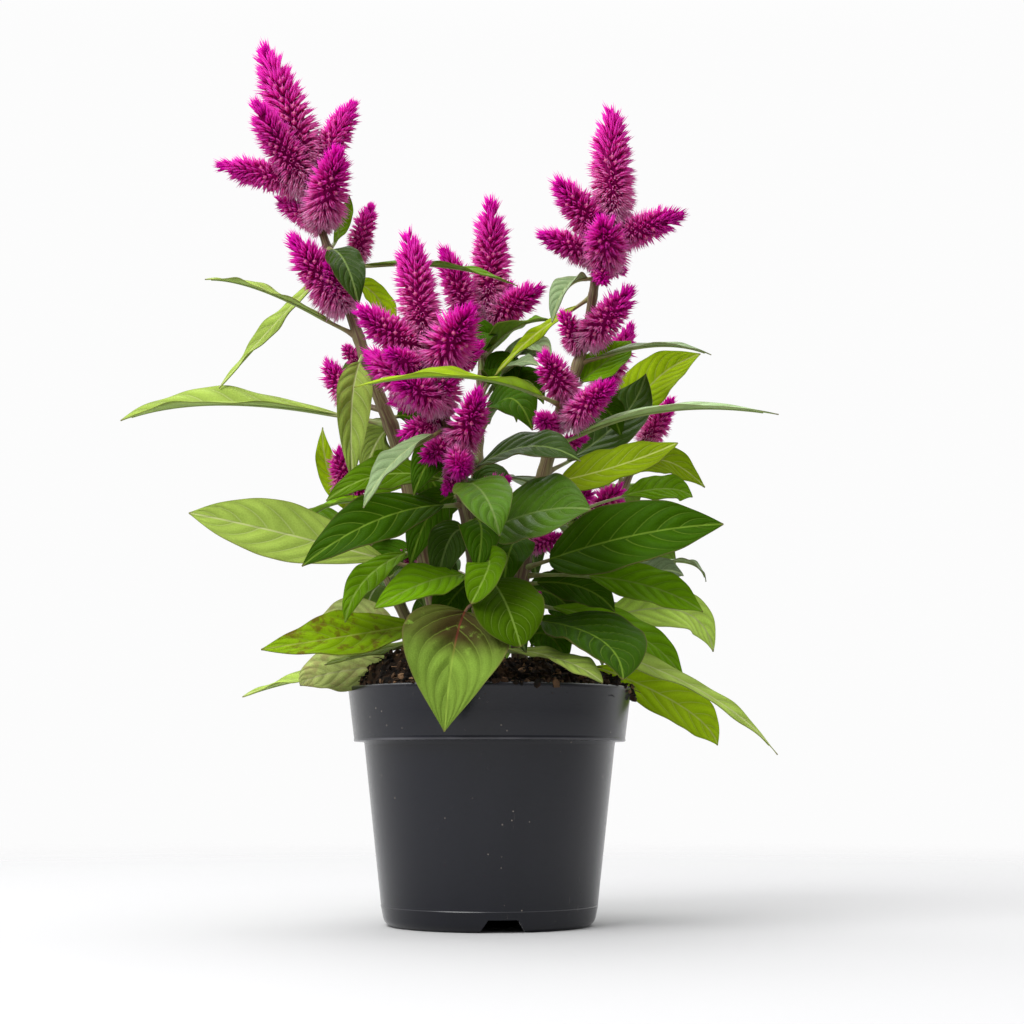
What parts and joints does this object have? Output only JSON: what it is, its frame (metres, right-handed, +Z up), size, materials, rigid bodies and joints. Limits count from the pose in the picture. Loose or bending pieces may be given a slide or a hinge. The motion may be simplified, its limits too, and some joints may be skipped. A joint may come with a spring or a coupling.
{
  "type": "potted flamingo feather celosia",
  "caption": "Flowering pot plant with several leafy branched stems and pointed plume-like magenta flower spikes, in a round tapered nursery pot filled with peat.",
  "frame": {"origin": "middle of the pot's underside, on the surface that it stands on", "axes": "+Z up along the pot's axis, +X to the picture's right, +Y away from the picture's viewer"},
  "size_m": [0.306, 0.2155, 0.418],
  "materials": {
    "pot_plastic": "satin charcoal moulded plastic",
    "peat": "crumbly moist peat",
    "foliage": "soft glossy green leaf",
    "blossom": "dry papery magenta florets"
  },
  "bodies": {
    "root": {"pot": "pot_plastic", "soil": "peat", "leafy_stem_left": "foliage", "leafy_stem_centre": "foliage", "leafy_stem_right": "foliage", "leafy_stem_back": "foliage", "leafy_stem_back_right": "foliage", "leafy_stem_back_left": "foliage", "flower_head_left": "blossom", "flower_head_centre": "blossom", "flower_head_centre_low": "blossom", "side_bud_centre": "blossom", "flower_head_right": "blossom", "flower_head_back": "blossom", "side_spikes_left_upper": "blossom", "side_spike_left_behind": "blossom", "side_spike_left_middle": "blossom", "side_spike_left_small": "blossom", "side_bud_left_low": "blossom", "side_spikes_back_left": "blossom", "side_spikes_right_upper": "blossom", "side_spike_right_behind": "blossom", "side_spike_right_middle_left": "blossom", "side_spikes_right_middle": "blossom", "side_spike_right_inner": "blossom", "side_spike_right_low": "blossom", "side_bud_right_low": "blossom", "side_bud_right_base": "blossom", "side_spike_back_right_top": "blossom", "side_spike_back_right_inner": "blossom"}
  },
  "joints": []
}
